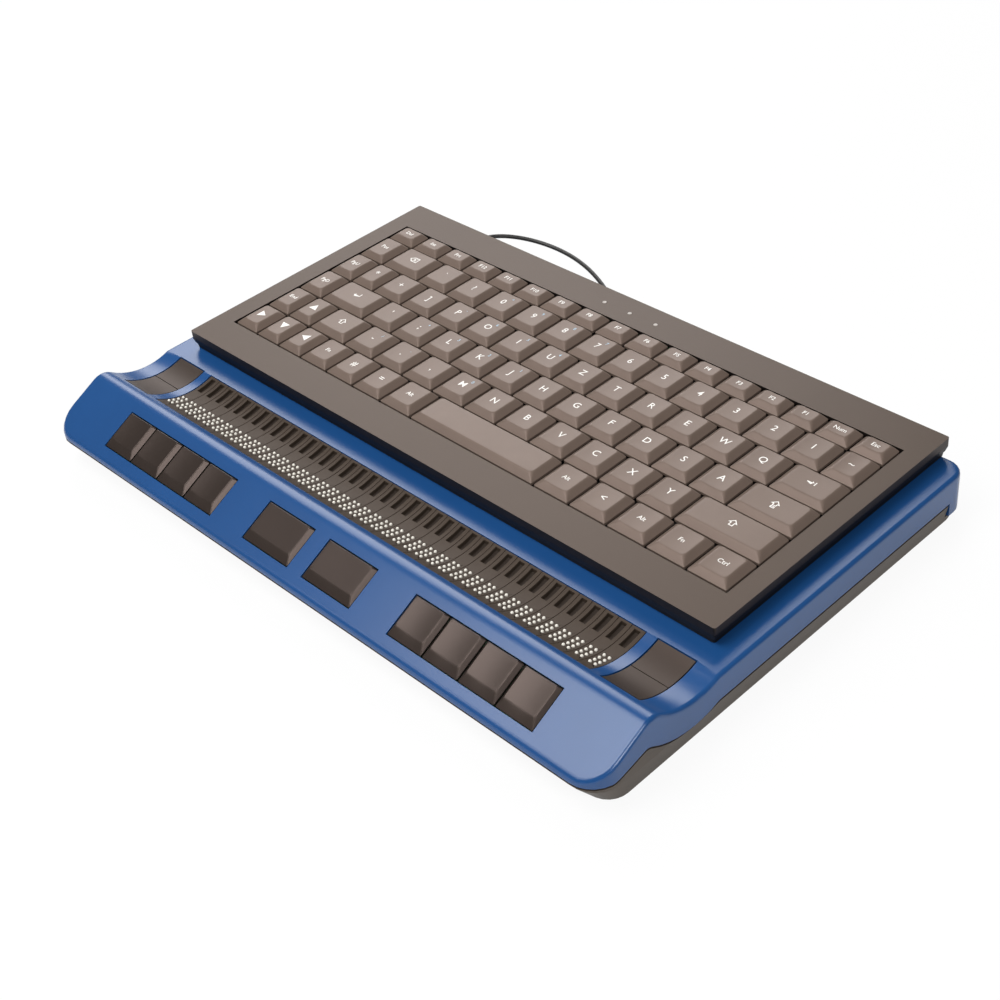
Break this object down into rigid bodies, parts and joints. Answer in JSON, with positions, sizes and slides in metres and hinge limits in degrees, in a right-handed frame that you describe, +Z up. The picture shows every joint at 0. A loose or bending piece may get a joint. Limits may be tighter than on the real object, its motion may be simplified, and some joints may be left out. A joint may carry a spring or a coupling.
{
  "type": "braille notetaker",
  "caption": "Desktop braille notetaker with a wave-shaped two-part housing, a refreshable braille line, braille keys on a sloped front and a compact keyboard standing on its deck.",
  "frame": {"origin": "centre of the footprint of housing and keyboard, on the surface that the rubber feet stand on", "axes": "+X along the braille line to the right as the user sees it, +Y from the user to the rear, +Z up"},
  "size_m": [0.3244, 0.2388, 0.035],
  "materials": {
    "blue_housing": "satin moulded ABS, mid blue",
    "grey_housing": "matt moulded ABS, warm dark grey",
    "key_plastic": "fine textured ABS, brown black",
    "keycap_plastic": "fine textured ABS, brown black",
    "keyboard_case": "satin moulded ABS, brown black",
    "cell_plastic": "matt nylon, dark grey brown",
    "routing_plastic": "matt nylon, near black",
    "pin_plastic": "polished acetal, ivory",
    "bracket_plastic": "moulded nylon, grey",
    "switch_plastic": "moulded acetal, cream",
    "circuit_board": "green solder mask on glass epoxy",
    "battery_wrap": "shrink wrap",
    "piezo_ceramic": "sintered ceramic strips",
    "screw_steel": "zinc plated steel",
    "socket_steel": "tinned steel sheet",
    "foot_rubber": "moulded rubber, matt",
    "dome_rubber": "silicone rubber, black",
    "cable_jacket": "flexible vinyl, satin",
    "lens_clear": "frosted acrylic"
  },
  "bodies": {
    "base": {"upper_shell": "blue_housing", "lower_shell": "grey_housing", "case_screws": "screw_steel", "rubber_feet": "foot_rubber", "main_board": "circuit_board", "battery_pack": "battery_wrap", "cell_backplane": "circuit_board", "braille_cells": "cell_plastic", "piezo_reeds": "piezo_ceramic", "rocker_brackets": "bracket_plastic", "key_contact_board": "circuit_board", "key_switches": "switch_plastic", "usb_socket": "socket_steel", "keyboard_socket": "socket_steel", "keyboard_frame": "keyboard_case", "keyboard_base": "keyboard_case", "keyboard_plate": "socket_steel", "dome_sheet": "dome_rubber", "controller_board": "circuit_board", "indicator_lenses": "lens_clear", "keyboard_feet": "foot_rubber", "strain_relief": "cable_jacket", "keyboard_cable": "cable_jacket", "cable_plug": "cable_jacket"},
    "braille_key_1": {"braille_key_1": "key_plastic"},
    "braille_key_2": {"braille_key_2": "key_plastic"},
    "braille_key_3": {"braille_key_3": "key_plastic"},
    "braille_key_4": {"braille_key_4": "key_plastic"},
    "braille_key_5": {"braille_key_5": "key_plastic"},
    "braille_key_6": {"braille_key_6": "key_plastic"},
    "braille_key_7": {"braille_key_7": "key_plastic"},
    "braille_key_8": {"braille_key_8": "key_plastic"},
    "space_key_left": {"space_key_left": "key_plastic"},
    "space_key_right": {"space_key_right": "key_plastic"},
    "dot_pins_1": {"dot_pins_1": "pin_plastic"},
    "dot_pins_2": {"dot_pins_2": "pin_plastic"},
    "dot_pins_3": {"dot_pins_3": "pin_plastic"},
    "dot_pins_4": {"dot_pins_4": "pin_plastic"},
    "dot_pins_5": {"dot_pins_5": "pin_plastic"},
    "dot_pins_6": {"dot_pins_6": "pin_plastic"},
    "dot_pins_7": {"dot_pins_7": "pin_plastic"},
    "dot_pins_8": {"dot_pins_8": "pin_plastic"},
    "routing_keys": {"routing_keys": "routing_plastic"},
    "bottom_row_keys": {"bottom_row_keys": "keycap_plastic"},
    "lower_letter_keys": {"lower_letter_keys": "keycap_plastic"},
    "home_letter_keys": {"home_letter_keys": "keycap_plastic"},
    "upper_letter_keys": {"upper_letter_keys": "keycap_plastic"},
    "number_keys": {"number_keys": "keycap_plastic"},
    "function_keys": {"function_keys": "keycap_plastic"},
    "space_bar": {"space_bar": "keycap_plastic"},
    "narrow_shift_key": {"narrow_shift_key": "keycap_plastic"},
    "wide_shift_key": {"wide_shift_key": "keycap_plastic"},
    "enter_key": {"enter_key": "keycap_plastic"},
    "caps_key": {"caps_key": "keycap_plastic"},
    "tab_key": {"tab_key": "keycap_plastic"},
    "backspace_key": {"backspace_key": "keycap_plastic"},
    "rocker_left": {"rocker_left": "key_plastic"},
    "rocker_right": {"rocker_right": "key_plastic"}
  },
  "joints": [
    {"name": "braille_key_1_press", "type": "slide", "parent": "base", "child": "braille_key_1", "axis": [0, 0.4462, -0.8949], "range_m": [0, 0.0025], "stiffness_N_per_m": 300, "springref_m": -0.001},
    {"name": "braille_key_2_press", "type": "slide", "parent": "base", "child": "braille_key_2", "axis": [0, 0.4462, -0.8949], "range_m": [0, 0.0025], "stiffness_N_per_m": 300, "springref_m": -0.001},
    {"name": "braille_key_3_press", "type": "slide", "parent": "base", "child": "braille_key_3", "axis": [0, 0.4462, -0.8949], "range_m": [0, 0.0025], "stiffness_N_per_m": 300, "springref_m": -0.001},
    {"name": "braille_key_4_press", "type": "slide", "parent": "base", "child": "braille_key_4", "axis": [0, 0.4462, -0.8949], "range_m": [0, 0.0025], "stiffness_N_per_m": 300, "springref_m": -0.001},
    {"name": "braille_key_5_press", "type": "slide", "parent": "base", "child": "braille_key_5", "axis": [0, 0.4462, -0.8949], "range_m": [0, 0.0025], "stiffness_N_per_m": 300, "springref_m": -0.001},
    {"name": "braille_key_6_press", "type": "slide", "parent": "base", "child": "braille_key_6", "axis": [0, 0.4462, -0.8949], "range_m": [0, 0.0025], "stiffness_N_per_m": 300, "springref_m": -0.001},
    {"name": "braille_key_7_press", "type": "slide", "parent": "base", "child": "braille_key_7", "axis": [0, 0.4462, -0.8949], "range_m": [0, 0.0025], "stiffness_N_per_m": 300, "springref_m": -0.001},
    {"name": "braille_key_8_press", "type": "slide", "parent": "base", "child": "braille_key_8", "axis": [0, 0.4462, -0.8949], "range_m": [0, 0.0025], "stiffness_N_per_m": 300, "springref_m": -0.001},
    {"name": "space_key_left_press", "type": "slide", "parent": "base", "child": "space_key_left", "axis": [0, 0.4462, -0.8949], "range_m": [0, 0.0025], "stiffness_N_per_m": 300, "springref_m": -0.001},
    {"name": "space_key_right_press", "type": "slide", "parent": "base", "child": "space_key_right", "axis": [0, 0.4462, -0.8949], "range_m": [0, 0.0025], "stiffness_N_per_m": 300, "springref_m": -0.001},
    {"name": "dot_pins_1_press", "type": "slide", "parent": "base", "child": "dot_pins_1", "axis": [0, -0.3113, -0.9503], "range_m": [0, 0.0007], "stiffness_N_per_m": 600, "springref_m": -0.0005},
    {"name": "dot_pins_2_press", "type": "slide", "parent": "base", "child": "dot_pins_2", "axis": [0, -0.3113, -0.9503], "range_m": [0, 0.0007], "stiffness_N_per_m": 600, "springref_m": -0.0005},
    {"name": "dot_pins_3_press", "type": "slide", "parent": "base", "child": "dot_pins_3", "axis": [0, -0.3113, -0.9503], "range_m": [0, 0.0007], "stiffness_N_per_m": 600, "springref_m": -0.0005},
    {"name": "dot_pins_4_press", "type": "slide", "parent": "base", "child": "dot_pins_4", "axis": [0, -0.3113, -0.9503], "range_m": [0, 0.0007], "stiffness_N_per_m": 600, "springref_m": -0.0005},
    {"name": "dot_pins_5_press", "type": "slide", "parent": "base", "child": "dot_pins_5", "axis": [0, -0.3113, -0.9503], "range_m": [0, 0.0007], "stiffness_N_per_m": 600, "springref_m": -0.0005},
    {"name": "dot_pins_6_press", "type": "slide", "parent": "base", "child": "dot_pins_6", "axis": [0, -0.3113, -0.9503], "range_m": [0, 0.0007], "stiffness_N_per_m": 600, "springref_m": -0.0005},
    {"name": "dot_pins_7_press", "type": "slide", "parent": "base", "child": "dot_pins_7", "axis": [0, -0.3113, -0.9503], "range_m": [0, 0.0007], "stiffness_N_per_m": 600, "springref_m": -0.0005},
    {"name": "dot_pins_8_press", "type": "slide", "parent": "base", "child": "dot_pins_8", "axis": [0, -0.3113, -0.9503], "range_m": [0, 0.0007], "stiffness_N_per_m": 600, "springref_m": -0.0005},
    {"name": "routing_keys_press", "type": "slide", "parent": "base", "child": "routing_keys", "axis": [0, 0, -1], "range_m": [0, 0.0008], "stiffness_N_per_m": 800, "springref_m": -0.0006},
    {"name": "bottom_row_keys_press", "type": "slide", "parent": "base", "child": "bottom_row_keys", "axis": [0, 0, -1], "range_m": [0, 0.0022], "stiffness_N_per_m": 900, "springref_m": -0.001},
    {"name": "lower_letter_keys_press", "type": "slide", "parent": "base", "child": "lower_letter_keys", "axis": [0, 0, -1], "range_m": [0, 0.0022], "stiffness_N_per_m": 900, "springref_m": -0.001},
    {"name": "home_letter_keys_press", "type": "slide", "parent": "base", "child": "home_letter_keys", "axis": [0, 0, -1], "range_m": [0, 0.0022], "stiffness_N_per_m": 900, "springref_m": -0.001},
    {"name": "upper_letter_keys_press", "type": "slide", "parent": "base", "child": "upper_letter_keys", "axis": [0, 0, -1], "range_m": [0, 0.0022], "stiffness_N_per_m": 900, "springref_m": -0.001},
    {"name": "number_keys_press", "type": "slide", "parent": "base", "child": "number_keys", "axis": [0, 0, -1], "range_m": [0, 0.0022], "stiffness_N_per_m": 900, "springref_m": -0.001},
    {"name": "function_keys_press", "type": "slide", "parent": "base", "child": "function_keys", "axis": [0, 0, -1], "range_m": [0, 0.0022], "stiffness_N_per_m": 900, "springref_m": -0.001},
    {"name": "space_bar_press", "type": "slide", "parent": "base", "child": "space_bar", "axis": [0, 0, -1], "range_m": [0, 0.0022], "stiffness_N_per_m": 300, "springref_m": -0.001},
    {"name": "narrow_shift_key_press", "type": "slide", "parent": "base", "child": "narrow_shift_key", "axis": [0, 0, -1], "range_m": [0, 0.0022], "stiffness_N_per_m": 300, "springref_m": -0.001},
    {"name": "wide_shift_key_press", "type": "slide", "parent": "base", "child": "wide_shift_key", "axis": [0, 0, -1], "range_m": [0, 0.0022], "stiffness_N_per_m": 300, "springref_m": -0.001},
    {"name": "enter_key_press", "type": "slide", "parent": "base", "child": "enter_key", "axis": [0, 0, -1], "range_m": [0, 0.0022], "stiffness_N_per_m": 300, "springref_m": -0.001},
    {"name": "caps_key_press", "type": "slide", "parent": "base", "child": "caps_key", "axis": [0, 0, -1], "range_m": [0, 0.0022], "stiffness_N_per_m": 300, "springref_m": -0.001},
    {"name": "tab_key_press", "type": "slide", "parent": "base", "child": "tab_key", "axis": [0, 0, -1], "range_m": [0, 0.0022], "stiffness_N_per_m": 300, "springref_m": -0.001},
    {"name": "backspace_key_press", "type": "slide", "parent": "base", "child": "backspace_key", "axis": [0, 0, -1], "range_m": [0, 0.0022], "stiffness_N_per_m": 300, "springref_m": -0.001},
    {"name": "rocker_left_tilt", "type": "hinge", "parent": "base", "child": "rocker_left", "pos_m": [-0.1427, -0.0581, 0.01551], "axis": [1, 0, 0], "range_deg": [-2.5, 2.5], "stiffness_Nm_per_rad": 0.4},
    {"name": "rocker_right_tilt", "type": "hinge", "parent": "base", "child": "rocker_right", "pos_m": [0.1427, -0.0581, 0.01551], "axis": [1, 0, 0], "range_deg": [-2.5, 2.5], "stiffness_Nm_per_rad": 0.4}
  ]
}
